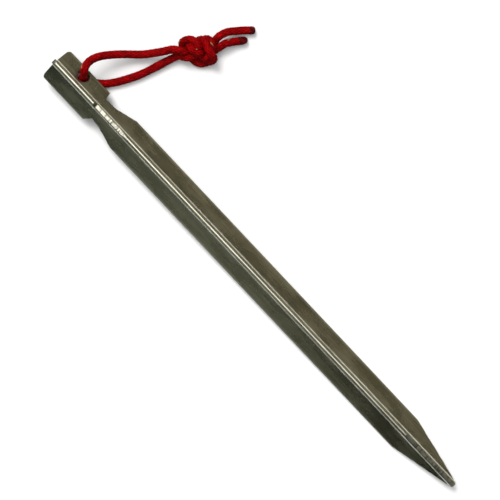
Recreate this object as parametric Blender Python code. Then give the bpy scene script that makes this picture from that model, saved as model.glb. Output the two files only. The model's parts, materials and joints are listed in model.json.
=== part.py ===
"""Y-section aluminium tent stake with a knotted pull cord, lying as it would on a table.

Metres. +X runs from the head to the tip, +Y is the side that the cord leaves from, +Z is up.
The origin is under the middle of the stake, on the surface that it lies on.
"""
import math

import bmesh
import bpy
import numpy as np
from mathutils import Matrix, Vector

# Stake: lengths run from the head end, radii run out from the stake's own axis.
STAKE_LENGTH = 0.1800
FIN_RADIUS = 0.0066
FIN_THICKNESS = 0.0016
ROOT_FILLET = 0.0007
HEAD_CORNER = 0.0016          # rounding of each fin's corner at the head end
SHOULDER_AT = 0.0183          # where the head's guy-line hooks end
HOOK_CORNER = 0.0004
NOTCH_RADIUS = 0.0039         # what is left of a fin at the bottom of its notch
NOTCH_END = 0.0223
RAMP_END = 0.0311
TAPER_START = 0.1570
POINT_AT = 0.1788
POINT_RADIUS = 0.0011
NOSE_RADIUS = 0.0008          # at the blunt end of the point

# Each fin: its angle in the cross-section, and how far its hook's shoulder slopes along X.
TOP_FIN = math.radians(90)
CORD_FIN = math.radians(-30)
FAR_FIN = math.radians(210)
SHOULDER_RUN = {TOP_FIN: 0.0005, CORD_FIN: 0.0005, FAR_FIN: 0.0019}

# Hole for the cord, through the fin on the cord's side.
HOLE_AT = 0.0090
HOLE_FROM_AXIS = 0.0035
HOLE_DIAMETER = 0.0037

# The cord passes under the head, so the stake lies tilted, touching where its taper starts.
TILT = math.radians(1.22)

# Cord: a 2.5 mm braid. Routes are in the model's frame, from the hole outwards.
CORD_DIAMETER = 0.0025
CORD_CLEARANCE = 0.0003
LEG_IN_HOLE = 0.00015         # each leg stops this far short of the fin's mid-plane
CORD_POINT_STEP = 0.0012

UPPER_LEG_ROUTE = [
    (-0.0815, 0.0044, 0.0079), (-0.0821, 0.0053, 0.0086), (-0.0826, 0.0067, 0.0085),
    (-0.0827, 0.0088, 0.0075), (-0.0820, 0.0111, 0.0063), (-0.0803, 0.0139, 0.0049),
    (-0.0782, 0.0166, 0.0038), (-0.0759, 0.0191, 0.0031), (-0.0735, 0.0217, 0.0029),
    (-0.0715, 0.0244, 0.0033), (-0.0698, 0.0268, 0.0041), (-0.0686, 0.0287, 0.0048),
]
LOWER_LEG_ROUTE = [
    (-0.0807, 0.0021, 0.0025), (-0.0799, 0.0027, 0.0016), (-0.0789, 0.0035, 0.0013),
    (-0.0775, 0.0047, 0.0013), (-0.0759, 0.0061, 0.0013), (-0.0744, 0.0079, 0.0013),
    (-0.0730, 0.0101, 0.0013), (-0.0715, 0.0130, 0.0013), (-0.0699, 0.0166, 0.0013),
    (-0.0686, 0.0207, 0.0013), (-0.0674, 0.0249, 0.0014), (-0.0667, 0.0272, 0.0017),
    (-0.0661, 0.0289, 0.0021),
]
LONG_TAIL_ROUTE = [
    (-0.0614, 0.0427, 0.0041), (-0.0612, 0.0438, 0.0037), (-0.0607, 0.0453, 0.0032),
    (-0.0594, 0.0473, 0.0024), (-0.0580, 0.0492, 0.0018), (-0.0562, 0.0512, 0.0015),
]
SHORT_TAIL_ROUTE = [
    (-0.0584, 0.0429, 0.0028), (-0.0575, 0.0444, 0.0021), (-0.0560, 0.0467, 0.0016),
]

# Knot: outer shape of an overhand knot tied in both ends together.
KNOT_CENTRE = (-0.0619, 0.0359, 0.0038)
KNOT_SIZE = (0.0130, 0.0093, 0.0074)
KNOT_HEADING = math.radians(59)

# Melted ends.
LONG_SEAL_LENGTH = 0.0013
SHORT_SEAL_LENGTH = 0.0022

# How finely round shapes are cut.
EDGE_STEPS = 8
FILLET_STEPS = 4
CORNER_STEPS = 6
HOLE_SIDES = 40
CUTTER_MARGIN = 0.0020        # how far a cutter reaches past what it cuts
CUTTER_STANDOFF = 0.0003      # how far it stays off a fin's edge that it leaves alone


def material(name, colour, roughness, metallic=0.0):
    """A Principled material."""
    result = bpy.data.materials.new(name)
    result.use_nodes = True
    shader = result.node_tree.nodes["Principled BSDF"]
    shader.inputs["Base Color"].default_value = (*colour, 1.0)
    shader.inputs["Roughness"].default_value = roughness
    shader.inputs["Metallic"].default_value = metallic
    return result


def add_object(name, data, parent=None):
    """A new object in the scene, kept where its mesh or curve says in its parent's frame."""
    result = bpy.data.objects.new(name, data)
    bpy.context.scene.collection.objects.link(result)
    result.parent = parent
    return result


def add_solid(name, build, parent=None):
    """A mesh object whose closed shape is made by build(bmesh)."""
    shape = bmesh.new()
    build(shape)
    bmesh.ops.recalc_face_normals(shape, faces=shape.faces)
    mesh = bpy.data.meshes.new(name)
    shape.to_mesh(mesh)
    shape.free()
    return add_object(name, mesh, parent)


def shade_smooth(obj, sharp_angle=math.radians(30)):
    obj.data.shade_smooth()
    obj.data.set_sharp_from_angle(angle=sharp_angle)


def extrude_outline(shape, outline, travel):
    """Fill a closed outline of 3-D points and extrude it along travel."""
    base = shape.faces.new([shape.verts.new(point) for point in outline])
    extruded = bmesh.ops.extrude_face_region(shape, geom=[base])
    moved = [item for item in extruded["geom"] if isinstance(item, bmesh.types.BMVert)]
    bmesh.ops.translate(shape, verts=moved, vec=travel)


def fin_direction(angle):
    """Unit vector out along a fin, in the stake's cross-section."""
    return Vector((0.0, math.cos(angle), math.sin(angle)))


def fin_normal(angle):
    """Unit vector square to a fin's faces."""
    return Vector((0.0, -math.sin(angle), math.cos(angle)))


def arc(centre, radius, start, end, steps):
    """Points on an arc in a plane, both ends included."""
    turns = [start + (end - start) * i / steps for i in range(steps + 1)]
    return [(centre[0] + radius * math.cos(t), centre[1] + radius * math.sin(t)) for t in turns]


def section_outline():
    """The extrusion's Y cross-section, as (y, z) points, anticlockwise."""
    half = FIN_THICKNESS / 2
    quarter = math.radians(90)
    valley = math.radians(60)
    fillet_centre = (half + ROOT_FILLET) / math.sin(valley)
    points = []
    for fin in (TOP_FIN, FAR_FIN, CORD_FIN):
        edge_centre = ((FIN_RADIUS - half) * math.cos(fin), (FIN_RADIUS - half) * math.sin(fin))
        points += arc(edge_centre, half, fin - quarter, fin + quarter, EDGE_STEPS)
        bisector = fin + valley
        centre = (fillet_centre * math.cos(bisector), fillet_centre * math.sin(bisector))
        inward = bisector + math.radians(180)
        points += arc(centre, ROOT_FILLET, inward + valley / 2, inward - valley / 2, FILLET_STEPS)
    return points


def trimmed_outline(shoulder_run):
    """What is milled off a fin, as (x, radius) points round the waste."""
    clear = FIN_RADIUS + CUTTER_STANDOFF
    outside = FIN_RADIUS + CUTTER_MARGIN
    corner = (HEAD_CORNER, FIN_RADIUS - HEAD_CORNER)
    hook = (SHOULDER_AT - HOOK_CORNER, FIN_RADIUS - HOOK_CORNER)
    left, top = math.radians(180), math.radians(90)
    points = [(-CUTTER_MARGIN, FIN_RADIUS - HEAD_CORNER)]
    points += arc(corner, HEAD_CORNER, left, top, CORNER_STEPS)
    points += [(HEAD_CORNER + CUTTER_STANDOFF, clear), (hook[0] - CUTTER_STANDOFF, clear)]
    points += arc(hook, HOOK_CORNER, top, 0.0, CORNER_STEPS // 2)
    points += [
        (SHOULDER_AT + shoulder_run, NOTCH_RADIUS), (NOTCH_END, NOTCH_RADIUS), (RAMP_END, FIN_RADIUS),
        (RAMP_END + CUTTER_STANDOFF, clear), (TAPER_START - CUTTER_STANDOFF, clear),
        (TAPER_START, FIN_RADIUS), (POINT_AT, POINT_RADIUS), (STAKE_LENGTH, NOSE_RADIUS),
        (STAKE_LENGTH + CUTTER_MARGIN, NOSE_RADIUS), (STAKE_LENGTH + CUTTER_MARGIN, outside),
        (-CUTTER_MARGIN, outside),
    ]
    return points


def cutter(name, build, parent):
    result = add_solid(name, build, parent)
    result.hide_render = True
    result.display_type = "WIRE"
    return result


def subtract(target, tool):
    cut = target.modifiers.new(tool.name, "BOOLEAN")
    cut.operation = "DIFFERENCE"
    cut.solver = "EXACT"
    cut.object = tool


def fin_cutter(name, fin, parent):
    """A flat-sided cutter that mills one fin's hook, notch, ramp and taper."""
    start = fin_normal(fin) * -FIN_THICKNESS
    outline = [
        Vector((x, 0.0, 0.0)) + fin_direction(fin) * radius + start
        for x, radius in trimmed_outline(SHOULDER_RUN[fin])
    ]
    return cutter(name, lambda s: extrude_outline(s, outline, fin_normal(fin) * 2 * FIN_THICKNESS), parent)


def hole_cutter(name, parent):
    """A drill through the cord's fin."""
    across = fin_normal(CORD_FIN)
    centre = Vector((HOLE_AT, 0.0, 0.0)) + fin_direction(CORD_FIN) * HOLE_FROM_AXIS
    rim = [
        centre - across * FIN_THICKNESS + Vector((x, 0.0, 0.0)) + fin_direction(CORD_FIN) * y
        for x, y in arc((0.0, 0.0), HOLE_DIAMETER / 2, 0.0, math.tau, HOLE_SIDES)[:-1]
    ]
    return cutter(name, lambda s: extrude_outline(s, rim, across * 2 * FIN_THICKNESS), parent)


def build_stake(metal):
    """The stake, and the empty that lays it down tilted with its lowest point on the surface."""
    seat = add_object("stake_seat", None)
    seat.rotation_euler = (0.0, TILT, 0.0)
    section = [(0.0, y, z) for y, z in section_outline()]
    stake = add_solid(
        "stake_body", lambda s: extrude_outline(s, section, (STAKE_LENGTH, 0.0, 0.0)), seat)
    stake.data.materials.append(metal)
    for name, fin in (("top_fin_cut", TOP_FIN), ("cord_fin_cut", CORD_FIN), ("far_fin_cut", FAR_FIN)):
        subtract(stake, fin_cutter(name, fin, seat))
    subtract(stake, hole_cutter("cord_hole_cut", seat))
    shade_smooth(stake)
    bpy.context.view_layer.update()
    cut_stake = stake.evaluated_get(bpy.context.evaluated_depsgraph_get())
    corners = np.array([stake.matrix_world @ vert.co for vert in cut_stake.data.vertices])
    lowest, highest = corners.min(axis=0), corners.max(axis=0)
    seat.location = (-(lowest[0] + highest[0]) / 2, 0.0, -lowest[2])
    bpy.context.view_layer.update()
    return seat


def smooth_curve(route, step):
    """Points about a step apart on the natural cubic spline through a route's points."""
    stops = np.array([tuple(point) for point in route])
    along = np.concatenate(([0.0], np.cumsum(np.linalg.norm(np.diff(stops, axis=0), axis=1))))
    gaps = np.diff(along)
    count = len(stops)
    system = np.eye(count)
    right = np.zeros((count, 3))
    for i in range(1, count - 1):
        system[i, i - 1:i + 2] = (gaps[i - 1], 2 * (gaps[i - 1] + gaps[i]), gaps[i])
        slopes = (stops[i + 1] - stops[i]) / gaps[i] - (stops[i] - stops[i - 1]) / gaps[i - 1]
        right[i] = 6 * slopes
    bends = np.linalg.solve(system, right)
    samples = np.linspace(0.0, along[-1], round(along[-1] / step) + 1)
    piece = np.clip(np.searchsorted(along, samples) - 1, 0, count - 2)
    far = ((samples - along[piece]) / gaps[piece])[:, None]
    near = 1 - far
    sag = (near ** 3 - near) * bends[piece] + (far ** 3 - far) * bends[piece + 1]
    return near * stops[piece] + far * stops[piece + 1] + sag * gaps[piece, None] ** 2 / 6


def add_cord(name, points, parent, fabric):
    """A round tube along a line of points in the model's frame."""
    curve = bpy.data.curves.new(name, "CURVE")
    curve.dimensions = "3D"
    curve.resolution_u = 1
    curve.render_resolution_u = 0
    curve.bevel_depth = CORD_DIAMETER / 2
    curve.bevel_resolution = 2
    curve.use_fill_caps = True
    spline = curve.splines.new("POLY")
    spline.points.add(len(points) - 1)
    for knot, point in zip(spline.points, points):
        knot.co = (*point, 1.0)
    curve.materials.append(fabric)
    result = add_object(name, curve, parent)
    result.matrix_parent_inverse = parent.matrix_world.inverted()
    return result


def add_bead(name, centre, size, aim, parent, look, rings=12):
    """A rounded closed solid, its own Z along aim."""
    def ball(shape):
        bmesh.ops.create_uvsphere(shape, u_segments=2 * rings, v_segments=rings, radius=0.5)
        bmesh.ops.scale(shape, verts=shape.verts, vec=size)
    result = add_solid(name, ball, parent)
    result.data.materials.append(look)
    result.matrix_parent_inverse = parent.matrix_world.inverted()
    result.location = centre
    result.rotation_euler = aim.to_track_quat("Z", "Y").to_euler()
    shade_smooth(result)
    return result


def add_tail(name, route, seal_name, seal_length, parent, fabric, melted):
    """A tail of the cord, and the melted bead on its cut end."""
    points = smooth_curve(route, CORD_POINT_STEP)
    add_cord(name, points, parent, fabric)
    heading = Vector(points[-1] - points[-2]).normalized()
    middle = Vector(points[-1]) + heading * (CORD_CLEARANCE + seal_length / 2)
    bead_size = (CORD_DIAMETER, CORD_DIAMETER, seal_length)
    add_bead(seal_name, middle, bead_size, heading, parent, melted, rings=8)


def build_pull_cord(seat, fabric, melted):
    """The cord's legs, knot, tails and melted ends, which swing about the hole's axis."""
    hole = seat.matrix_world @ (
        Vector((HOLE_AT, 0.0, 0.0)) + fin_direction(CORD_FIN) * HOLE_FROM_AXIS)
    across = (seat.matrix_world.to_3x3() @ fin_normal(CORD_FIN)).normalized()
    pivot = add_object("loop_swing_axis", None)
    pivot.matrix_world = Matrix.Translation(hole) @ across.to_track_quat("Z", "Y").to_matrix().to_4x4()
    bpy.context.view_layer.update()

    straight = [LEG_IN_HOLE, FIN_THICKNESS / 2, FIN_THICKNESS]
    upper_start = [hole + across * rise for rise in straight]
    lower_start = [hole - across * drop for drop in straight]
    upper = smooth_curve(upper_start + UPPER_LEG_ROUTE, CORD_POINT_STEP)
    lower = smooth_curve(lower_start + LOWER_LEG_ROUTE, CORD_POINT_STEP)
    add_cord("cord_upper_leg", upper, pivot, fabric)
    add_cord("cord_lower_leg", lower, pivot, fabric)

    knot = add_bead(
        "cord_knot", KNOT_CENTRE, KNOT_SIZE, Vector((0.0, 0.0, 1.0)), pivot, fabric)
    knot.rotation_euler = (0.0, 0.0, KNOT_HEADING)
    add_tail("cord_long_tail", LONG_TAIL_ROUTE, "long_tail_seal", LONG_SEAL_LENGTH, pivot, fabric, melted)
    add_tail("cord_short_tail", SHORT_TAIL_ROUTE, "short_tail_seal", SHORT_SEAL_LENGTH, pivot, fabric, melted)


def build_model():
    for old in list(bpy.data.objects):
        bpy.data.objects.remove(old, do_unlink=True)
    metal = material("grey_aluminium", (0.30, 0.29, 0.25), 0.32, metallic=1.0)
    fabric = material("red_braid", (0.55, 0.01, 0.015), 0.6)
    melted = material("melted_red", (0.16, 0.012, 0.012), 0.35)
    seat = build_stake(metal)
    build_pull_cord(seat, fabric, melted)


build_model()
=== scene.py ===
"""Looks for the tent stake: its milled aluminium Y-section and its knotted red pull cord.

Metres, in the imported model's frame: +X runs from the head to the tip, +Y is the cord's side.
"""
import json
import math

import bmesh
import bpy
import numpy as np
from mathutils import Matrix, Vector


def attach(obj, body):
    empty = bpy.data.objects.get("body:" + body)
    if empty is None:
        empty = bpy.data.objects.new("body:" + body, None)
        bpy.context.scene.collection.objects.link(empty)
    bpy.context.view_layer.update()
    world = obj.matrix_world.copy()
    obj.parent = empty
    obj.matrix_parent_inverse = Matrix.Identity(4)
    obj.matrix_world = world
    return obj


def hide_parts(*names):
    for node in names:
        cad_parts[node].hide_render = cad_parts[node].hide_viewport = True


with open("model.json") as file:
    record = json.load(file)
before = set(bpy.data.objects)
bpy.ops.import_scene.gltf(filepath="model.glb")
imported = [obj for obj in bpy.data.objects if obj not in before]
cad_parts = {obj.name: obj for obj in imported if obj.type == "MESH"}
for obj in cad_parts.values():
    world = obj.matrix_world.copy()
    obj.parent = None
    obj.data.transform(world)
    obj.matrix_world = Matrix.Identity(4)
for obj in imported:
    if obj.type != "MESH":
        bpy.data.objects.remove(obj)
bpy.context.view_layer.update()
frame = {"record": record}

MM = 0.001

# Camera: straight above, turned so that the stake runs from upper left to lower right.
CAMERA_PLACE = (-0.00665, 0.00405, 0.52)
CAMERA_TURN = math.radians(46.71)
CAMERA_LENS = 119.85
CAMERA_SENSOR = 36.0

# Stake, as in the CAD: lengths run from the head end, radii out from the stake's own axis.
STAKE_LENGTH = 0.1800
FIN_RADIUS = 0.0066
FIN_THICKNESS = 0.0016
ROOT_FILLET = 0.0007
HEAD_CORNER = 0.0016
SHOULDER_AT = 0.0183
HOOK_CORNER = 0.0004
NOTCH_RADIUS = 0.0039
NOTCH_END = 0.0223
RAMP_END = 0.0311
TAPER_START = 0.1570
POINT_AT = 0.1788
POINT_RADIUS = 0.0011
NOSE_RADIUS = 0.0008
TOP_FIN = math.radians(90)
CORD_FIN = math.radians(-30)
FAR_FIN = math.radians(210)
SHOULDER_RUN = {TOP_FIN: 0.0005, CORD_FIN: 0.0005, FAR_FIN: 0.0019}
HOLE_AT = 0.0090
HOLE_FROM_AXIS = 0.0035
HOLE_DIAMETER = 0.0037
TILT = math.radians(1.22)

# Finish of the stake's surface, and the painted highlight along the fillets between fins.
CUT_ROUND = 0.00035           # worn corner along every cut edge
HOLE_CHAMFER = 0.00018
NOSE_ROUND = 0.0007           # how far back from the end the blunt nose is rounded
NOTCH_ROUND = 0.0018          # how far each side of a bend the cutter's round reaches
NOSE_SHRINK = 0.8             # of the nose's cross-section, over that round
TOOL_MARK_DEPTH = 0.000070    # how far milled faces wander
TOOL_MARK_WAVES = ((0.00045, 1.0), (0.0011, 0.7), (0.0030, 0.6))  # (spacing, weight)
TOOL_MARK_SEED = 30
RIB_DEPTH = 0.000012          # faint lengthwise drawing lines on the extruded faces
SHARP_ANGLE = math.radians(28)
SKIN_COLOUR = (0.33, 0.32, 0.255)
MILLED_COLOUR = (0.34, 0.33, 0.27)
# Near-white colour painted on the fillets between fins: a painted highlight for the bright lines along
# the roots.
FILLET_HIGHLIGHT_COLOUR = (0.94, 0.94, 0.90)

# How finely the stake's mesh is drawn: where spacings along it change, and the spacings.
STATION_STOPS = (0.0, HEAD_CORNER, 0.0176, 0.0206, 0.0320, 0.1560, 0.1790, STAKE_LENGTH)
STATION_STEPS = (0.00010, 0.00040, 0.00007, 0.00016, 0.00080, 0.00018, 0.00006)
FINS = (TOP_FIN, FAR_FIN, CORD_FIN)
EDGE_POINTS = 15              # over a fin's edge
FACE_POINTS = 9               # up each of a fin's faces
VALLEY_POINTS = 4             # in each fillet between fins
HOLE_SIDES = 72

# Cord: routes run from the hole outwards.
CORD_DIAMETER = 0.0025
UPPER_LEG_ROUTE = [
    (-0.0815, 0.0044, 0.0079), (-0.0821, 0.0053, 0.0086), (-0.0826, 0.0067, 0.0085),
    (-0.0827, 0.0088, 0.0075), (-0.0820, 0.0111, 0.0063), (-0.0803, 0.0139, 0.0049),
    (-0.0782, 0.0166, 0.0038), (-0.0759, 0.0191, 0.0031), (-0.0735, 0.0217, 0.0029),
    (-0.0715, 0.0244, 0.0033), (-0.0698, 0.0268, 0.0041), (-0.0686, 0.0287, 0.0048),
]
LOWER_LEG_ROUTE = [
    (-0.0807, 0.0021, 0.0025), (-0.0799, 0.0027, 0.0016), (-0.0789, 0.0035, 0.0013),
    (-0.0775, 0.0047, 0.0013), (-0.0759, 0.0061, 0.0013), (-0.0744, 0.0079, 0.0013),
    (-0.0730, 0.0101, 0.0013), (-0.0715, 0.0130, 0.0013), (-0.0699, 0.0166, 0.0013),
    (-0.0686, 0.0207, 0.0013), (-0.0674, 0.0249, 0.0014), (-0.0667, 0.0272, 0.0017),
    (-0.0661, 0.0289, 0.0021),
]
LONG_TAIL_ROUTE = [
    (-0.0614, 0.0427, 0.0041), (-0.0612, 0.0438, 0.0037), (-0.0607, 0.0453, 0.0032),
    (-0.0594, 0.0473, 0.0024), (-0.0580, 0.0492, 0.0018), (-0.0562, 0.0512, 0.0015),
]
SHORT_TAIL_ROUTE = [
    (-0.0584, 0.0429, 0.0028), (-0.0575, 0.0444, 0.0021), (-0.0560, 0.0467, 0.0016),
]

# Knot: an overhand knot tied in both strands. Its loose course is in millimetres in the knot's own
# axes: along it, across it and up.
KNOT_CENTRE = (-0.0619, 0.0359)
KNOT_HEADING = math.radians(59)
LOOSE_KNOT = [
    (-16, -1.5, 0), (-11, -1.5, 0.6), (-6.3, -1.5, 1.5), (-1.8, -1.5, 0), (2.8, -1.5, -1.5),
    (7.4, -0.6, -0.6), (10.6, 2.5, 0.6), (8.6, 6.4, 1.5), (4, 7.9, 0.6), (-1, 7.3, -0.4),
    (-5.2, 4.1, -1.2), (-6.3, -1.5, -1.5), (-5.4, -5.7, -0.8), (-2, -8.1, 0), (1.4, -6.1, 0.8),
    (2.8, -1.5, 1.5), (4.6, 2.7, 0), (8.6, 6.4, -1.5), (12.5, 9.1, -0.8), (18, 9.5, 0),
]
KNOT_ROLL = math.radians(68)  # of the loose course about its own length
STRAND_OFFSET = 1.3           # of each strand from the loose course, mm
LOOSE_STRETCH = (1.05, -1.0, 1.0)
KNOT_TOP = 5.9                # how high centrelines may rise, mm
KNOT_RISE = 3.9               # of the loose course above the ground, mm
KNOT_POINTS = 100
KNOT_ROUNDS = 1300
KNOT_STRAND_GAP = 2.2         # between centrelines where strands press together, mm
UPPER_KNOT_LENGTH = 46.0      # of cord in the tight knot, mm
LOWER_KNOT_LENGTH = 44.0
KNOT_LOW_SIDE = -3.7          # how far strands may stray across the knot, mm
KNOT_HIGH_SIDE = 3.5
KNOT_PULL_SHARE = 0.7         # of the rounds in which the strands are drawn in
KNOT_LENGTH_SWEEPS = 7        # in each round, to keep each strand's length
KNOT_NEIGHBOURS = 1.35        # strand gaps along a strand within which its points don't push
KNOT_STIFFNESS = 0.24
KNOT_PUSH = 0.35
KNOT_SQUEEZE = 0.25
ROUTE_STEP = 0.0003
JOIN_GAP = 0.0004             # smallest step where leg, knot and tail are joined into one course

# Studio lights: where each stands, its strength, how wide it looks and its colour.
KEY_LIGHT = ((-0.55, 0.15, 0.75), 2.8, math.radians(32), (1.0, 0.99, 0.97))
TOP_LIGHT = ((0.0, 0.0, 1.0), 1.7, math.radians(60), (1.0, 1.0, 1.0))

# World: what the camera sees, what fills the shadows, and the dim room that the metal reflects.
BACKDROP = (1.0, 1.0, 1.0)
WORLD_FILL = 0.15
OVERHEAD_GLOW = (4.6, 4.6, 4.5)
OVERHEAD_AIM = (-0.28, 0.0, 1.0)  # stretches the glow from straight above towards the head
OVERHEAD_EDGE = (0.895, 0.95)
ROOM_STRENGTH = 4.9
ROOM_REACH = 0.9              # how far across the room its three colours reach
ROOM_COLOURS = [(0.0, (0.230, 0.240, 0.190)), (0.5, (0.19, 0.19, 0.16)), (1.0, (0.200, 0.182, 0.125))]
ROOM_LEVELS = [(0.0, 0.35), (0.08, 1.0), (0.24, 0.95), (0.38, 0.28), (0.46, 0.19), (0.90, 0.19)]
WINDOW_REACH = 0.25           # along the room, on its far side
WINDOW = [
    (0.30, (0.03, 0.08, 0.075)), (0.44, (1.45, 1.45, 1.45)),
    (0.60, (1.45, 1.45, 1.45)), (0.72, (0.06, 0.06, 0.045)),
]
WINDOW_SIDE = (0.2, 0.5)      # across the room, from the far side, where the window fades out

# Floor: the object sees a darker one than the camera does.
FLOOR_HALF = 2.0
FLOOR_GREYS = (0.83, 0.85)
FLOOR_BOUNCE = 0.20

# Braid: carriers wound each way, and how far along the cord one takes to go round it.
CARRIERS = 8
BRAID_LAY = 0.0130
PALE_THREAD = (0.46, 0.24, 0.11)
DARK_THREAD = (0.10, 0.02, 0.012)
BRAID_DEPTH = 0.00016
CORD_SIDES = 64
CORD_RING_STEP = 0.00014
YARN_RED = (0.34, 0.0013, 0.0024)
YARN_SHADES = (0.80, 1.12)    # darkest and lightest carrier
THREAD_EVERY = 8              # crossings between two showings of a tracer thread
THREAD_HALF_WIDTH = 0.15      # of a carrier's width
FLOOR_GAP = 0.00003           # between the cord's skin and the ground
PRESSED_WITHIN = 1.05         # diameters between centrelines that press on each other
BESIDE_WITHIN = 1.45          # diameters along the cord that can't press on the same place

# Melted ends: how far each reaches past the cut, and how raggedly its yarns stick out.
LONG_END = 0.0013
LONG_END_TUFT = 0.0001
SHORT_END = 0.0020
SHORT_END_TUFT = 0.0005
END_OVERLAP = 0.0004          # of a bead over the cord
END_RINGS = 26
END_SIDES = 48
DOME_START = 0.45             # of a bead's length, where it starts to round off
DOME_POWER = 2.6


def mount_place(name):
    """A mount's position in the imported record."""
    mounts = frame["record"]["mounts"]
    found = next(m for m in mounts if m["name"] == name)
    return Vector(found["pos_m"])


def add_mesh(name, points, faces, materials=()):
    """A mesh object whose points are in the row frame."""
    mesh = bpy.data.meshes.new(name)
    mesh.from_pydata([tuple(point) for point in points], [], faces)
    mesh.validate()
    for look in materials:
        mesh.materials.append(look)
    result = bpy.data.objects.new(name, mesh)
    bpy.context.scene.collection.objects.link(result)
    return result


def tube_faces(rings, sides):
    """Faces between rings of points, closed at both ends."""
    faces = []
    for i in range(rings - 1):
        near = i * sides
        far = near + sides
        for j in range(sides):
            k = (j + 1) % sides
            faces.append((near + j, near + k, far + k, far + j))
    faces.append(tuple(range(sides - 1, -1, -1)))
    faces.append(tuple((rings - 1) * sides + j for j in range(sides)))
    return faces


def turn_faces_outwards(mesh):
    """Make every face's normal point out of a closed mesh."""
    shape = bmesh.new()
    shape.from_mesh(mesh)
    bmesh.ops.recalc_face_normals(shape, faces=shape.faces)
    shape.to_mesh(mesh)
    shape.free()


def smooth_noise(places, spacing, seed):
    """Smooth random values between -1 and 1 at places along a line, about spacing apart."""
    places = np.asarray(places, float)
    first = math.floor(places.min() / spacing) - 1
    count = math.ceil(places.max() / spacing) - first + 3
    values = np.random.RandomState(seed).uniform(-1, 1, count)
    at = places / spacing - first
    cell = np.floor(at).astype(int)
    part = at - cell
    ease = part * part * (3 - 2 * part)
    return values[cell] * (1 - ease) + values[cell + 1] * ease


# ---- Nodes shared by the materials ----

def new_material(name):
    """A material, its nodes, its links and its Principled shader."""
    look = bpy.data.materials.new(name)
    look.use_nodes = True
    tree = look.node_tree
    return look, tree.nodes, tree.links, tree.nodes["Principled BSDF"]


def noise_node(nodes, links, coordinates, stretch, scale, detail=3.0):
    """A noise texture on coordinates stretched by (x, y, z)."""
    mapping = nodes.new("ShaderNodeMapping")
    mapping.inputs["Scale"].default_value = stretch
    links.new(coordinates, mapping.inputs["Vector"])
    noise = nodes.new("ShaderNodeTexNoise")
    noise.inputs["Scale"].default_value = scale
    noise.inputs["Detail"].default_value = detail
    links.new(mapping.outputs["Vector"], noise.inputs["Vector"])
    return noise.outputs["Fac"]


def ramp_node(nodes, links, value, stops):
    """A colour ramp through (position, colour) stops."""
    ramp = nodes.new("ShaderNodeValToRGB")
    elements = ramp.color_ramp.elements
    while len(elements) < len(stops):
        elements.new(0.5)
    for element, (position, colour) in zip(elements, stops):
        element.position = position
        element.color = (*colour, 1.0)
    links.new(value, ramp.inputs["Fac"])
    return ramp.outputs["Color"]


def grey(value):
    """A colour with three equal parts."""
    return (value, value, value)


def mix_node(nodes, links, kind, factor, first, second):
    """Two colours mixed; each may be a socket, or else a number or a colour."""
    mix = nodes.new("ShaderNodeMix")
    mix.data_type = "RGBA"
    mix.blend_type = kind
    if isinstance(factor, (int, float)):
        mix.inputs["Factor"].default_value = factor
    else:
        links.new(factor, mix.inputs["Factor"])
    for colour, socket in ((first, mix.inputs[6]), (second, mix.inputs[7])):
        if isinstance(colour, tuple):
            socket.default_value = (*colour, 1.0)
        else:
            links.new(colour, socket)
    return mix.outputs[2]


def range_node(nodes, links, value, reach):
    """A value from -reach to reach brought to between 0 and 1."""
    limits = nodes.new("ShaderNodeMapRange")
    limits.inputs["From Min"].default_value = -reach
    limits.inputs["From Max"].default_value = reach
    links.new(value, limits.inputs["Value"])
    return limits.outputs["Result"]


def bump_node(nodes, links, height, distance, strength=1.0, under=None):
    """A normal bent by a height, on top of another bent normal if one is given."""
    bump = nodes.new("ShaderNodeBump")
    bump.inputs["Strength"].default_value = strength
    bump.inputs["Distance"].default_value = distance
    links.new(height, bump.inputs["Height"])
    if under is not None:
        links.new(under, bump.inputs["Normal"])
    return bump.outputs["Normal"]


# ---- Stake: its shape ----

def fin_direction(angle):
    """Unit vector out along a fin, in the stake's cross-section."""
    return Vector((0.0, math.cos(angle), math.sin(angle)))


def fin_normal(angle):
    """Unit vector square to a fin's faces."""
    return Vector((0.0, -math.sin(angle), math.cos(angle)))


def stake_placement():
    """From the stake's own axes, X from the head end, to the row frame."""
    return Matrix.Translation(mount_place("strike_face")) @ Matrix.Rotation(TILT, 4, "Y")


def arc(centre, radius, start, end, steps):
    """Points on an arc in a plane, both ends included."""
    turns = [start + (end - start) * i / steps for i in range(steps + 1)]
    return [(centre[0] + radius * math.cos(t), centre[1] + radius * math.sin(t)) for t in turns]


def fin_profile(fin):
    """A fin's reach along the stake, as (x, radius) points from the head end."""
    corner = (HEAD_CORNER, FIN_RADIUS - HEAD_CORNER)
    hook = (SHOULDER_AT - HOOK_CORNER, FIN_RADIUS - HOOK_CORNER)
    left, top = math.radians(180), math.radians(90)
    return [
        *arc(corner, HEAD_CORNER, left, top, 10), *arc(hook, HOOK_CORNER, top, 0.0, 6),
        (SHOULDER_AT + SHOULDER_RUN[fin], NOTCH_RADIUS), (NOTCH_END, NOTCH_RADIUS),
        (RAMP_END, FIN_RADIUS), (TAPER_START, FIN_RADIUS), (POINT_AT, POINT_RADIUS),
        (STAKE_LENGTH, NOSE_RADIUS),
    ]


def fin_reach(fin, places):
    """A fin's reach at places along it, with the cutter's round where its notch turns into the ramp."""
    reach = np.interp(places, *zip(*fin_profile(fin)))
    for bend, slope in ((NOTCH_END, 1.0), (RAMP_END, -1.0)):
        into = np.clip((places - bend + NOTCH_ROUND) / (2 * NOTCH_ROUND), 0.0, 1.0)
        away = np.minimum(into, 1 - into)
        ramp = (FIN_RADIUS - NOTCH_RADIUS) / (RAMP_END - NOTCH_END)
        reach += slope * ramp * NOTCH_ROUND * away ** 2
    return reach


def stations():
    """Places along the stake where its section is drawn, closer where it changes."""
    spans = zip(STATION_STOPS, STATION_STOPS[1:], STATION_STEPS)
    places = [np.linspace(a, b, round((b - a) / step), endpoint=False) for a, b, step in spans]
    return np.concatenate([*places, [STAKE_LENGTH]])


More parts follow.
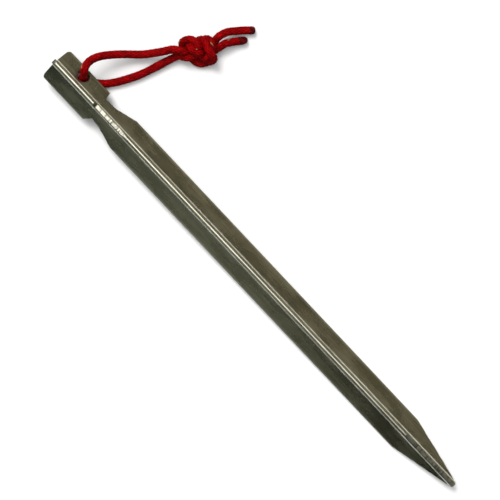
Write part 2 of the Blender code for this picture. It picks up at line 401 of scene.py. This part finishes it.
def fin_ring(fin, reach, uncut, marks):
    """One fin's part of a section: up one face, over the edge and down the other, as (y, z)."""
    half = FIN_THICKNESS / 2
    root = (half + ROOT_FILLET) / math.tan(math.radians(60))
    swing = np.linspace(-math.pi / 2, math.pi / 2, EDGE_POINTS)
    width = half * np.sin(swing)
    rounded = FIN_RADIUS - half + half * np.cos(swing)
    worn = np.maximum(0.0, np.abs(width) - (half - CUT_ROUND)) / CUT_ROUND
    cut = reach - 0.5 * CUT_ROUND * worn ** 2
    if not uncut:
        cut += marks[0] + (marks[1] - marks[0]) * (0.5 + width / FIN_THICKNESS)
    height = np.minimum(rounded, cut)
    rise = np.linspace(0.0, 1.0, FACE_POINTS, endpoint=False)
    first = [(root + (height[0] - root) * part, -half) for part in rise]
    second = [(root + (height[-1] - root) * part, half) for part in rise[::-1]]
    out, aside = fin_direction(fin), fin_normal(fin)
    line = first + list(zip(height, width)) + second
    return [out * radius + aside * offset for radius, offset in line]


def valley_ring(fin):
    """The fillet between a fin and the next one round."""
    valley = math.radians(60)
    centre_radius = (FIN_THICKNESS / 2 + ROOT_FILLET) / math.sin(valley)
    bisector = fin + valley
    centre = (centre_radius * math.cos(bisector), centre_radius * math.sin(bisector))
    inward = bisector + math.radians(180)
    inner = arc(centre, ROOT_FILLET, inward + valley / 2, inward - valley / 2, VALLEY_POINTS + 1)[1:-1]
    return [Vector((0.0, y, z)) for y, z in inner]


def tool_marks(places, seed):
    """Height of a milled face along one of its sides: ragged at several sizes."""
    waves = enumerate(TOOL_MARK_WAVES)
    return TOOL_MARK_DEPTH * sum(
        weight * smooth_noise(places, spacing, seed + i) for i, (spacing, weight) in waves)


def stake_sections():
    """The stake's sections, and for each of them whether each fin's edge is cut there."""
    places = stations()
    rings = []
    cut_edges = []
    marks = {}
    for i, fin in enumerate(FINS):
        seed = TOOL_MARK_SEED + 10 * i
        marks[fin] = (tool_marks(places, seed), tool_marks(places, seed + 5))
    reaches = {fin: fin_reach(fin, places) for fin in FINS}
    for i, x in enumerate(places):
        ring = []
        cuts = []
        for fin in FINS:
            reach = reaches[fin][i]
            uncut = reach > FIN_RADIUS - 0.00002
            ring += fin_ring(fin, reach, uncut, [track[i] for track in marks[fin]]) + valley_ring(fin)
            cuts.append(not uncut)
        rounding = max(0.0, (x - STAKE_LENGTH) / NOSE_ROUND + 1)
        narrow = math.sqrt(1 - NOSE_SHRINK * rounding ** 2)
        rings.append([point * narrow + Vector((x, 0.0, 0.0)) for point in ring])
        cut_edges.append(cuts)
    return rings, cut_edges


def face_rows():
    """For each face row round the ring, the fin whose edge it is on, "root" in a fillet (the rows
    painted with the fillet highlight), or None.
    """
    rows = []
    for number in range(len(FINS)):
        rows += [None] * FACE_POINTS + [number] * (EDGE_POINTS - 1)
        rows += [None] * FACE_POINTS + ["root"] * (VALLEY_POINTS + 1)
    return rows


def make_hole_cutter():
    """A drill through the cord's fin, with a small countersink on both faces."""
    across = fin_normal(CORD_FIN)
    out = fin_direction(CORD_FIN)
    centre = Vector((HOLE_AT, 0.0, 0.0)) + out * HOLE_FROM_AXIS
    half = FIN_THICKNESS / 2
    radius = HOLE_DIAMETER / 2
    beyond = 0.001
    profile = [
        (-half - beyond, radius + HOLE_CHAMFER + beyond), (-half + HOLE_CHAMFER, radius),
        (half - HOLE_CHAMFER, radius), (half + beyond, radius + HOLE_CHAMFER + beyond),
    ]
    points = []
    for rise, size in profile:
        for j in range(HOLE_SIDES):
            turn = 2 * math.pi * j / HOLE_SIDES
            along = Vector((size * math.cos(turn), 0, 0))
            points.append(centre + across * rise + along + out * size * math.sin(turn))
    tool = add_mesh("hole_cutter", points, tube_faces(len(profile), HOLE_SIDES))
    turn_faces_outwards(tool.data)
    return tool


def face_looks(cut_edges):
    """Each face's material: 0 as drawn, 1 milled, 2 in a fillet, painted near-white as a highlight; the
    two ends are milled.
    """
    rows = face_rows()
    looks = []
    for here, ahead in zip(cut_edges, cut_edges[1:]):
        for row in rows:
            if row == "root":
                looks.append(2)
            else:
                looks.append(int(row is not None and (here[row] or ahead[row])))
    return looks + [1, 1]


def make_stake():
    """The whole stake, its cut faces a little brighter and rougher than the drawn ones, its fillets
    painted near-white as a highlight.
    """
    skin = aluminium("stake_skin", SKIN_COLOUR, 0.28, marked=False)
    milled = aluminium("stake_milled", MILLED_COLOUR, 0.35, marked=True)
    # Painted highlight: the fillets between fins get a near-white, mostly metallic colour for the bright
    # lines along the roots.
    root = aluminium("stake_fillet_highlight", FILLET_HIGHLIGHT_COLOUR, 0.62, marked=False, metallic=0.92)
    rings, cut_edges = stake_sections()
    size = len(rings[0])
    points = [point for ring in rings for point in ring]
    stake = add_mesh("stake", points, tube_faces(len(rings), size), [skin, milled, root])
    stake.data.polygons.foreach_set("material_index", face_looks(cut_edges))
    turn_faces_outwards(stake.data)
    tool = make_hole_cutter()
    drill = stake.modifiers.new("hole", "BOOLEAN")
    drill.operation = "DIFFERENCE"
    drill.solver = "EXACT"
    drill.object = tool
    bpy.context.view_layer.update()
    evaluated = stake.evaluated_get(bpy.context.evaluated_depsgraph_get())
    drilled = bpy.data.meshes.new_from_object(evaluated)
    stake.modifiers.clear()
    stake.data = drilled
    bpy.data.objects.remove(tool)
    stake.data.shade_smooth()
    stake.data.set_sharp_from_angle(angle=SHARP_ANGLE)
    stake.data.transform(stake_placement())
    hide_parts("stake_body")
    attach(stake, "stake")


def aluminium(name, base, roughness, marked, metallic=1.0):
    """Dull olive aluminium with long drawing lines and flecks, pitted by the tool where it is marked."""
    look, nodes, links, shader = new_material(name)
    place = nodes.new("ShaderNodeTexCoord").outputs["Object"]
    streaks = noise_node(nodes, links, place, (0.03, 1, 1), 2600.0, 4.0)
    blotches = noise_node(nodes, links, place, (0.35, 1, 1), 260.0, 3.0)
    nicks = noise_node(nodes, links, place, (1.0, 0.25, 0.25), 1500.0, 2.0)
    dark = tuple(0.80 * part for part in base)
    light = tuple(1.15 * part for part in base)
    tint = ramp_node(nodes, links, streaks, [(0.30, dark), (0.70, light)])
    patches = ramp_node(nodes, links, blotches, [(0.35, grey(0.86)), (0.65, grey(1.08))])
    tint = mix_node(nodes, links, "MULTIPLY", 1.0, tint, patches)
    pit = 0.35 if marked else 0.85
    flecks = ramp_node(nodes, links, nicks, [
        (0.36, grey(pit)), (0.50, grey(1.0)), (0.68, grey(1.0)), (0.76, grey(1.8))])
    tint = mix_node(nodes, links, "MULTIPLY", 0.8 if marked else 0.45, tint, flecks)
    links.new(tint, shader.inputs["Base Color"])
    shader.inputs["Metallic"].default_value = metallic
    rough = ramp_node(nodes, links, blotches, [
        (0.3, grey(roughness - 0.05)), (0.7, grey(roughness + 0.05))])
    links.new(rough, shader.inputs["Roughness"])
    ribs = bump_node(nodes, links, streaks, RIB_DEPTH, 1.0)
    if marked:
        ribs = bump_node(nodes, links, nicks, TOOL_MARK_DEPTH, 0.8, under=ribs)
    links.new(ribs, shader.inputs["Normal"])
    return look


# ---- Camera ----

def make_camera():
    """A camera looking straight down."""
    data = bpy.data.cameras.new("camera")
    data.lens = CAMERA_LENS
    data.sensor_width = CAMERA_SENSOR
    data.clip_start = 0.01
    data.clip_end = 20.0
    camera = bpy.data.objects.new("camera", data)
    bpy.context.scene.collection.objects.link(camera)
    camera.location = CAMERA_PLACE
    camera.rotation_euler = (0.0, 0.0, CAMERA_TURN)
    bpy.context.scene.camera = camera


# ---- Cord: its course ----

def smooth_curve(route, step):
    """Points about a step apart on the natural cubic spline through a route's points."""
    stops = np.array([tuple(point) for point in route])
    along = np.concatenate(([0.0], np.cumsum(np.linalg.norm(np.diff(stops, axis=0), axis=1))))
    gaps = np.diff(along)
    count = len(stops)
    system = np.eye(count)
    right = np.zeros((count, 3))
    for i in range(1, count - 1):
        system[i, i - 1:i + 2] = (gaps[i - 1], 2 * (gaps[i - 1] + gaps[i]), gaps[i])
        slopes = (stops[i + 1] - stops[i]) / gaps[i] - (stops[i] - stops[i - 1]) / gaps[i - 1]
        right[i] = 6 * slopes
    bends = np.linalg.solve(system, right)
    samples = np.linspace(0.0, along[-1], round(along[-1] / step) + 1)
    piece = np.clip(np.searchsorted(along, samples) - 1, 0, count - 2)
    far = ((samples - along[piece]) / gaps[piece])[:, None]
    near = 1 - far
    sag = (near ** 3 - near) * bends[piece] + (far ** 3 - far) * bends[piece + 1]
    return near * stops[piece] + far * stops[piece + 1] + sag * gaps[piece, None] ** 2 / 6


def resample(points, count):
    """A line's points moved to count even places along it."""
    along = np.concatenate(([0.0], np.cumsum(np.linalg.norm(np.diff(points, axis=0), axis=1))))
    places = np.linspace(0.0, along[-1], count)
    return np.stack([np.interp(places, along, points[:, axis]) for axis in range(3)], axis=1)


def line_length(points):
    """Length along a line's points."""
    return float(np.linalg.norm(np.diff(points, axis=0), axis=1).sum())


def loose_strands():
    """The two strands side by side along the loose knot, in millimetres in the knot's axes."""
    course = smooth_curve(np.array(LOOSE_KNOT) * LOOSE_STRETCH, 0.3)
    heading = np.gradient(course, axis=0)
    aside = np.stack([-heading[:, 1], heading[:, 0], 0 * heading[:, 0]], axis=1)
    aside /= np.linalg.norm(aside, axis=1)[:, None]
    roll = np.array(Matrix.Rotation(KNOT_ROLL, 3, "X"))
    sides = (course + aside * STRAND_OFFSET, course - aside * STRAND_OFFSET)
    return [strand @ roll.T + (0.0, 0.0, KNOT_RISE) for strand in sides]


def tighten_knot(ends, lengths):
    """Pull both loose strands tight between their ends without letting them pass through each other.

    ends holds, for each strand, its first point and heading, then its last point and heading.
    """
    count = KNOT_POINTS
    spots = np.concatenate([resample(strand, count) for strand in loose_strands()])
    strands = [slice(0, count), slice(count, 2 * count)]
    loose_steps = [line_length(spots[s]) / (count - 1) for s in strands]
    loose_ends = [(spots[s][0].copy(), spots[s][-1].copy()) for s in strands]
    index = np.arange(2 * count)
    apart = np.abs(index[:, None] - index[None, :])
    same = index[:, None] // count == index[None, :] // count
    smallest_turn = KNOT_NEIGHBOURS * KNOT_STRAND_GAP
    for turn in range(KNOT_ROUNDS):
        progress = min(1.0, turn / (KNOT_PULL_SHARE * KNOT_ROUNDS))
        pull = progress * progress * (3 - 2 * progress)
        steps = [a + (b / (count - 1) - a) * pull for a, b in zip(loose_steps, lengths)]
        for _ in range(KNOT_LENGTH_SWEEPS):
            for strand, step, old, (start, start_way, end, end_way) in zip(
                    strands, steps, loose_ends, ends):
                line = spots[strand]
                for parity in (0, 1):
                    i = np.arange(parity, count - 1, 2)
                    gap = line[i + 1] - line[i]
                    size = np.linalg.norm(gap, axis=1)[:, None]
                    fix = 0.5 * (size - step) / size * gap
                    line[i] += fix
                    line[i + 1] -= fix
                line[0] = old[0] + (start - old[0]) * pull
                line[-1] = old[1] + (end - old[1]) * pull
                line[1] = line[0] + start_way * step
                line[-2] = line[-1] - end_way * step
        for strand in strands:
            line = spots[strand]
            bend = np.zeros_like(line)
            bend[1:-1] = 0.5 * (line[:-2] + line[2:]) - line[1:-1]
            stiffness = np.zeros_like(line)
            stiffness[2:-2] = bend[2:-2] - 0.5 * (bend[1:-3] + bend[3:-1])
            line += KNOT_STIFFNESS * stiffness
        between = spots[:, None] - spots[None, :]
        distance = np.sqrt((between ** 2).sum(axis=2)) + 1e-9
        neighbours = same & (apart * sum(steps) / 2 < smallest_turn)
        clear = neighbours | (distance >= KNOT_STRAND_GAP)
        overlap = np.where(clear, 0.0, KNOT_STRAND_GAP - distance)
        push = (between / distance[:, :, None] * overlap[:, :, None]).sum(axis=1)
        touching = np.maximum((overlap > 0).sum(axis=1), 1)
        spots += KNOT_PUSH * push / np.sqrt(touching)[:, None]
        within = np.clip(spots[:, 1], KNOT_LOW_SIDE, KNOT_HIGH_SIDE)
        spots[:, 1] += KNOT_SQUEEZE * pull * (within - spots[:, 1])
        spots[:, 2] -= KNOT_SQUEEZE * pull * np.maximum(spots[:, 2] - KNOT_TOP, 0.0)
        spots[:, 2] = np.maximum(spots[:, 2], CORD_DIAMETER / 2 / MM)
    return [spots[s] for s in strands]


def knot_frame():
    """From the knot's own axes, in millimetres, to the row frame."""
    turn = Matrix.Rotation(KNOT_HEADING, 4, "Z")
    return Matrix.Translation((*KNOT_CENTRE, 0.0)) @ turn @ Matrix.Scale(MM, 4)


def cord_courses():
    """Each half of the cord, from the middle of the hole to its cut end, in the row frame."""
    seat = stake_placement()
    hole = seat @ (Vector((HOLE_AT, 0.0, 0.0)) + fin_direction(CORD_FIN) * HOLE_FROM_AXIS)
    across = (seat.to_3x3() @ fin_normal(CORD_FIN)).normalized()
    straight = (0.0, FIN_THICKNESS / 2, FIN_THICKNESS)
    upper = [hole + across * rise for rise in straight] + UPPER_LEG_ROUTE
    lower = [hole - across * drop for drop in straight] + LOWER_LEG_ROUTE
    legs = [smooth_curve(route, ROUTE_STEP) for route in (upper, lower)]
    tails = [smooth_curve(route, ROUTE_STEP) for route in (LONG_TAIL_ROUTE, SHORT_TAIL_ROUTE)]
    place = np.array(knot_frame())
    into_knot = np.linalg.inv(place)
    ends = []
    for leg, tail in zip(legs, tails):
        start = (into_knot @ (*leg[-1], 1.0))[:3]
        start_way = into_knot[:3, :3] @ (leg[-1] - leg[-3])
        end = (into_knot @ (*tail[0], 1.0))[:3]
        end_way = into_knot[:3, :3] @ (tail[2] - tail[0])
        ends.append((start, start_way / np.linalg.norm(start_way),
                     end, end_way / np.linalg.norm(end_way)))
    knotted = tighten_knot(ends, (UPPER_KNOT_LENGTH, LOWER_KNOT_LENGTH))
    courses = []
    for leg, strand, tail in zip(legs, knotted, tails):
        placed = strand @ place[:3, :3].T + place[:3, 3]
        stops = np.concatenate([leg[::3], placed[2:-2:2], tail[::3], tail[-1:]])
        keep = np.concatenate(([True], np.linalg.norm(np.diff(stops, axis=0), axis=1) > JOIN_GAP))
        courses.append(smooth_curve(stops[keep], CORD_RING_STEP))
    return courses


# ---- Cord: its surface ----

def ring_axes(course):
    """Each ring's heading and two side directions, carried along the course without twisting."""
    heading = np.gradient(course, axis=0)
    heading /= np.linalg.norm(heading, axis=1)[:, None]
    side = np.zeros_like(course)
    previous = np.cross(heading[0], (0.0, 0.0, 1.0))
    for i, way in enumerate(heading):
        previous = previous - way * (previous @ way)
        previous /= np.linalg.norm(previous)
        side[i] = previous
    return heading, side, np.cross(heading, side)


def braid_pattern(turns, along):
    """The braid's height (0 to 1), the carrier that shows, its crossing and the place across it."""
    rise = along / BRAID_LAY
    first = CARRIERS * (turns + rise)
    second = CARRIERS * (turns - rise)
    over_first = (np.floor(first) + np.floor(second)) % 2 == 0
    ridge_first = np.sin(math.pi * (first % 1))
    ridge_second = np.sin(math.pi * (second % 1))
    ease = 0.4
    height = np.where(
        over_first, ridge_first * ridge_second ** ease, ridge_second * ridge_first ** ease)
    carrier = np.where(
        over_first, np.floor(first) % CARRIERS, CARRIERS + np.floor(second) % CARRIERS)
    across = np.where(over_first, first % 1, second % 1)
    crossing = np.where(over_first, np.floor(second), np.floor(first))
    return height, carrier.astype(int), crossing.astype(int), across


def braid_tones_and_shade(carrier, crossing, across, height, seed):
    """Red yarns that differ a little, each darkened by painted shade towards the hollows between yarns;
    a thin pale thread and a dark one surface now and then.
    """
    random = np.random.RandomState(seed)
    shade = random.uniform(*YARN_SHADES, 2 * CARRIERS)
    colours = shade[:, None] * YARN_RED
    # Painted shade: each yarn's colour falls to 0.22 of itself in the braid's hollows, following its
    # height.
    shaded_yarn = colours[carrier] * (0.22 + 0.78 * height ** 0.8)[..., None]
    for thread, place, colour in ((0, 2, PALE_THREAD), (CARRIERS + 3, 1, DARK_THREAD)):
        on_top = (carrier == thread) & (crossing % THREAD_EVERY == place)
        shaded_yarn[on_top & (np.abs(across - 0.5) < THREAD_HALF_WIDTH)] = colour
    return shaded_yarn


def flatten_where_pressed(points, course, other):
    """Flatten each ring where the cord presses on itself or on the other half, halfway between."""
    reach = CORD_DIAMETER * PRESSED_WITHIN
    beside = round(BESIDE_WITHIN * CORD_DIAMETER / CORD_RING_STEP)
    strands = np.concatenate([course, other[beside:]])
    for i, centre in enumerate(course):
        gaps = strands - centre
        sizes = np.linalg.norm(gaps, axis=1)
        sizes[max(0, i - beside):i + beside + 1] = np.inf
        for j in np.nonzero(sizes < reach)[0]:
            way = gaps[j] / sizes[j]
            beyond = (points[i] - centre) @ way - sizes[j] / 2
            points[i] -= np.maximum(beyond, 0.0)[:, None] * way


def make_cord_half(name, course, other, look, seed):
    """A braided tube along its course, pressed flat where it lies against itself or the other half."""
    _, side, lift = ring_axes(course)
    along = np.concatenate(([0.0], np.cumsum(np.linalg.norm(np.diff(course, axis=0), axis=1))))
    turns = np.arange(CORD_SIDES) / CORD_SIDES
    height, carrier, crossing, across = braid_pattern(turns[None, :], along[:, None])
    radius = CORD_DIAMETER / 2 + BRAID_DEPTH * (height - 0.65)
    spread = 1 + 0.02 * smooth_noise(along, 0.004, seed)[:, None]
    radius = radius * spread
    angle = 2 * math.pi * turns
    outward = (side[:, None, :] * np.cos(angle)[None, :, None]
               + lift[:, None, :] * np.sin(angle)[None, :, None])
    points = course[:, None, :] + outward * radius[:, :, None]
    flatten_where_pressed(points, course, other)
    points[:, :, 2] = np.maximum(points[:, :, 2], FLOOR_GAP)
    rings, sides = radius.shape
    cord = add_mesh(name, points.reshape(-1, 3), tube_faces(rings, sides), [look])
    cord.data.shade_smooth()
    # Yarn colours with painted shade in the braid's hollows, stored on the points.
    colour = cord.data.color_attributes.new("yarn_tone_and_shade", "FLOAT_COLOR", "POINT")
    tint = braid_tones_and_shade(carrier, crossing, across, height, seed).reshape(-1, 3)
    tint = np.concatenate([tint, np.ones((rings * sides, 1))], axis=1)
    colour.data.foreach_set("color", tint.ravel())
    return cord


def braid_material():
    """Red filament yarn: the colour, with painted shade in the braid's hollows, comes from the braid,
    the fibres run within each yarn.
    """
    look, nodes, links, shader = new_material("red_braid")
    colour = nodes.new("ShaderNodeAttribute")
    colour.attribute_name = "yarn_tone_and_shade"
    place = nodes.new("ShaderNodeTexCoord").outputs["Object"]
    patches = ramp_node(nodes, links, noise_node(nodes, links, place, (1, 1, 1), 650.0, 4.0),
                        [(0.32, grey(0.55)), (0.68, grey(1.30))])
    fibres = ramp_node(nodes, links, noise_node(nodes, links, place, (1, 1, 1), 3800.0, 2.0),
                       [(0.30, grey(0.70)), (0.70, grey(1.15))])
    tint = mix_node(nodes, links, "MULTIPLY", 1.0, colour.outputs["Color"], patches)
    tint = mix_node(nodes, links, "MULTIPLY", 0.7, tint, fibres)
    links.new(tint, shader.inputs["Base Color"])
    shader.inputs["Roughness"].default_value = 0.62
    shader.inputs["Specular IOR Level"].default_value = 0.07
    fuzz = noise_node(nodes, links, place, (1, 1, 1), 5200.0, 3.0)
    normal = bump_node(nodes, links, fuzz, 0.00004, 0.8)
    links.new(normal, shader.inputs["Normal"])
    return look


def melted_material():
    """Cord melted with a flame: dark red, nearly black in places."""
    look, nodes, links, shader = new_material("melted_cord")
    place = nodes.new("ShaderNodeTexCoord").outputs["Object"]
    burns = noise_node(nodes, links, place, (1, 1, 1), 1100.0, 4.0)
    colour = ramp_node(nodes, links, burns, [
        (0.36, (0.020, 0.002, 0.002)), (0.52, (0.075, 0.002, 0.003)), (0.74, (0.20, 0.004, 0.005))])
    links.new(colour, shader.inputs["Base Color"])
    shader.inputs["Roughness"].default_value = 0.55
    shader.inputs["Specular IOR Level"].default_value = 0.06
    lumps = noise_node(nodes, links, place, (1, 1, 1), 1500.0, 4.0)
    normal = bump_node(nodes, links, lumps, 0.00012, 0.9)
    links.new(normal, shader.inputs["Normal"])
    return look


def make_melted_end(name, course, length, tuft, look, seed):
    """A lumpy bead over the cut end of a cord half; tuft is how raggedly its yarns stick out."""
    heading, side, lift = ring_axes(course[-20:])
    start = course[-1] - heading[-1] * END_OVERLAP
    points = []
    angle = np.arange(END_SIDES) * 2 * math.pi / END_SIDES
    lobes = smooth_noise(np.arange(END_SIDES) * 0.25, 1.0, seed)
    for i in range(END_RINGS):
        part = i / (END_RINGS - 1)
        reach = part * (length + END_OVERLAP)
        into_dome = max(0.0, (part - DOME_START) / (1 - DOME_START))
        dome = math.sqrt(max(0.0, 1 - into_dome ** DOME_POWER))
        ragged = 1 + 0.05 * smooth_noise(angle / (2 * math.pi) * 6 + 3 * part, 1.0, seed + 1)
        radius = CORD_DIAMETER / 2 * (1.02 - 0.05 * part) * dome * ragged + 1e-5
        stray = reach + tuft * lobes * part ** 2
        outward = side[-1] * np.cos(angle)[:, None] + lift[-1] * np.sin(angle)[:, None]
        points.append(start + heading[-1] * stray[:, None] + outward * radius[:, None])
    points = np.array(points)
    points[:, :, 2] = np.maximum(points[:, :, 2], FLOOR_GAP)
    bead = add_mesh(name, points.reshape(-1, 3), tube_faces(END_RINGS, END_SIDES), [look])
    bead.data.shade_smooth()
    return bead


def make_cord():
    """Both halves of the cord and their melted ends."""
    upper, lower = cord_courses()
    braid = braid_material()
    melted = melted_material()
    halves = [
        ("cord_upper_half", upper, lower, "long_tail_end", LONG_END, LONG_END_TUFT,
         "long_tail_seal", ("cord_upper_leg", "cord_long_tail", "cord_knot")),
        ("cord_lower_half", lower, upper, "short_tail_end", SHORT_END, SHORT_END_TUFT,
         "short_tail_seal", ("cord_lower_leg", "cord_short_tail")),
    ]
    for seed, (name, course, other, end_name, end_length, tuft, seal, solids) in enumerate(halves, 11):
        bead = make_melted_end(end_name, course, end_length, tuft, melted, seed)
        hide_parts(seal)
        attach(bead, "pull_loop")
        cord = make_cord_half(name, course, other, braid, seed)
        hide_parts(*solids)
        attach(cord, "pull_loop")


# ---- Studio ----

def add_soft_light(name, away, strength, spread, colour):
    """A broad light from far off in this direction, which the metal doesn't reflect."""
    data = bpy.data.lights.new(name, "SUN")
    data.energy = strength
    data.angle = spread
    data.color = colour
    light = bpy.data.objects.new(name, data)
    bpy.context.scene.collection.objects.link(light)
    light.rotation_euler = Vector(away).to_track_quat("Z", "Y").to_euler()
    light.visible_glossy = False


def make_floor():
    """A white floor, left unattached to the object's bodies."""
    half = FLOOR_HALF
    corners = [(-half, -half, 0), (half, -half, 0), (half, half, 0), (-half, half, 0)]
    floor = add_mesh("floor", corners, [(0, 1, 2, 3)])
    look, nodes, links, shader = new_material("white_floor")
    place = nodes.new("ShaderNodeTexCoord").outputs["Object"]
    tint = ramp_node(nodes, links, noise_node(nodes, links, place, (1, 1, 1), 60.0),
                     [(0.3, grey(FLOOR_GREYS[0])), (0.7, grey(FLOOR_GREYS[1]))])
    rays = nodes.new("ShaderNodeLightPath")
    tint = mix_node(nodes, links, "MIX", rays.outputs["Is Camera Ray"], grey(FLOOR_BOUNCE), tint)
    links.new(tint, shader.inputs["Base Color"])
    shader.inputs["Roughness"].default_value = 0.9
    shader.inputs["Specular IOR Level"].default_value = 0.1
    floor.data.materials.append(look)


def room_colour(nodes, links, direction):
    """What the metal reflects: a dim room with a window on its far side and a glow overhead."""
    split = nodes.new("ShaderNodeSeparateXYZ")
    links.new(direction, split.inputs["Vector"])
    across = range_node(nodes, links, split.outputs["Y"], ROOM_REACH)
    along = range_node(nodes, links, split.outputs["X"], WINDOW_REACH)
    room = ramp_node(nodes, links, across, ROOM_COLOURS)
    window = ramp_node(nodes, links, along, WINDOW)
    fade_from, fade_to = WINDOW_SIDE
    far_side = ramp_node(nodes, links, across, [(fade_from, grey(1.0)), (fade_to, grey(0.0))])
    shaded = mix_node(nodes, links, "MULTIPLY", 1.0, room, window)
    room = mix_node(nodes, links, "MIX", far_side, room, shaded)
    levels = [(height, grey(level)) for height, level in ROOM_LEVELS]
    level = ramp_node(nodes, links, split.outputs["Z"], levels)
    room = mix_node(nodes, links, "MULTIPLY", 1.0, room, level)
    room = mix_node(nodes, links, "MULTIPLY", 1.0, room, grey(ROOM_STRENGTH))
    lean = nodes.new("ShaderNodeVectorMath")
    lean.operation = "DOT_PRODUCT"
    lean.inputs[1].default_value = OVERHEAD_AIM
    links.new(direction, lean.inputs[0])
    edge, inside = OVERHEAD_EDGE
    above = ramp_node(nodes, links, lean.outputs["Value"], [(edge, grey(0.0)), (inside, grey(1.0))])
    return mix_node(nodes, links, "MIX", above, room, OVERHEAD_GLOW)


def make_world():
    """White to the camera, a faint even fill for the shadows, and a room for reflections only."""
    world = bpy.data.worlds.new("studio")
    bpy.context.scene.world = world
    world.use_nodes = True
    nodes, links = world.node_tree.nodes, world.node_tree.links
    direction = nodes.new("ShaderNodeTexCoord").outputs["Generated"]
    room = room_colour(nodes, links, direction)
    rays = nodes.new("ShaderNodeLightPath")
    lit = mix_node(nodes, links, "MIX", rays.outputs["Is Glossy Ray"], grey(WORLD_FILL), room)
    seen = mix_node(nodes, links, "MIX", rays.outputs["Is Camera Ray"], lit, BACKDROP)
    links.new(seen, nodes["Background"].inputs["Color"])


def make_studio():
    """Floor, world and lights."""
    make_floor()
    make_world()
    add_soft_light("key_light", *KEY_LIGHT)
    add_soft_light("top_light", *TOP_LIGHT)
    bpy.context.scene.view_settings.view_transform = "Standard"


make_camera()
make_cord()
make_stake()
make_studio()
